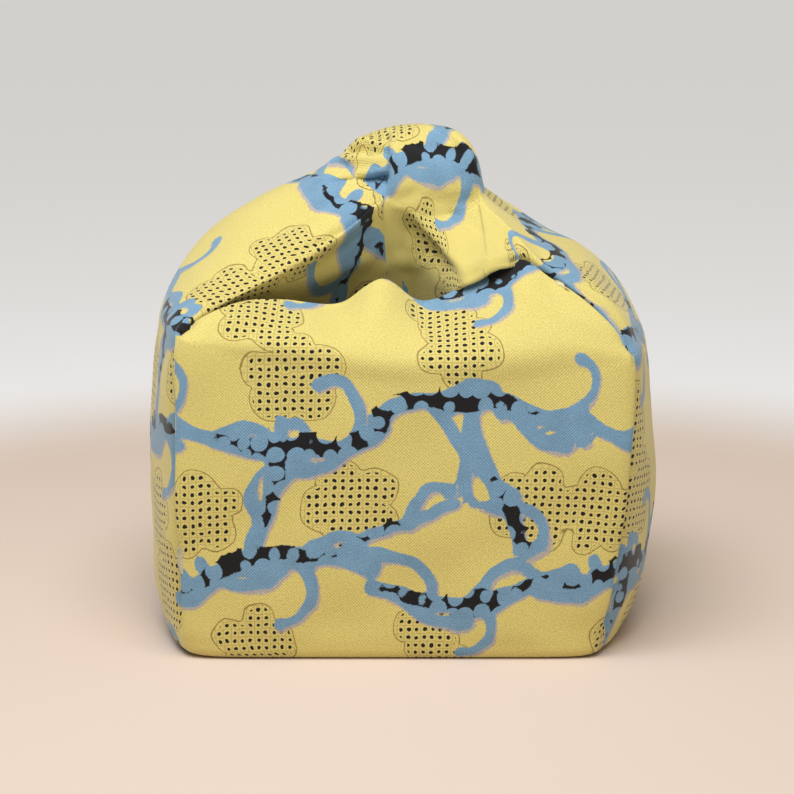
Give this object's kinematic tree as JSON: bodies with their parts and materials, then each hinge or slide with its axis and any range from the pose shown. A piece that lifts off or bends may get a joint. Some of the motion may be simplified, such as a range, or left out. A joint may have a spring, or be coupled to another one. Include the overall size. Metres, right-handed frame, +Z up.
{
  "type": "knotted cloth bag",
  "caption": "Box-shaped bag wrapped from one square of printed cotton, with side straps rising to a knot on top and a folded flap across the open front.",
  "frame": {"origin": "on the floor under the middle of the bag", "axes": "+Z up to the knot, the open front with the flap faces -Y, +X to the right seen from the front"},
  "size_m": [0.2015, 0.1482, 0.1963],
  "materials": {
    "printed_cotton": "matt plain-woven cotton, yellow with a blue and black print"
  },
  "bodies": {
    "root": {"knotted_cloth": "printed_cotton"}
  },
  "joints": []
}
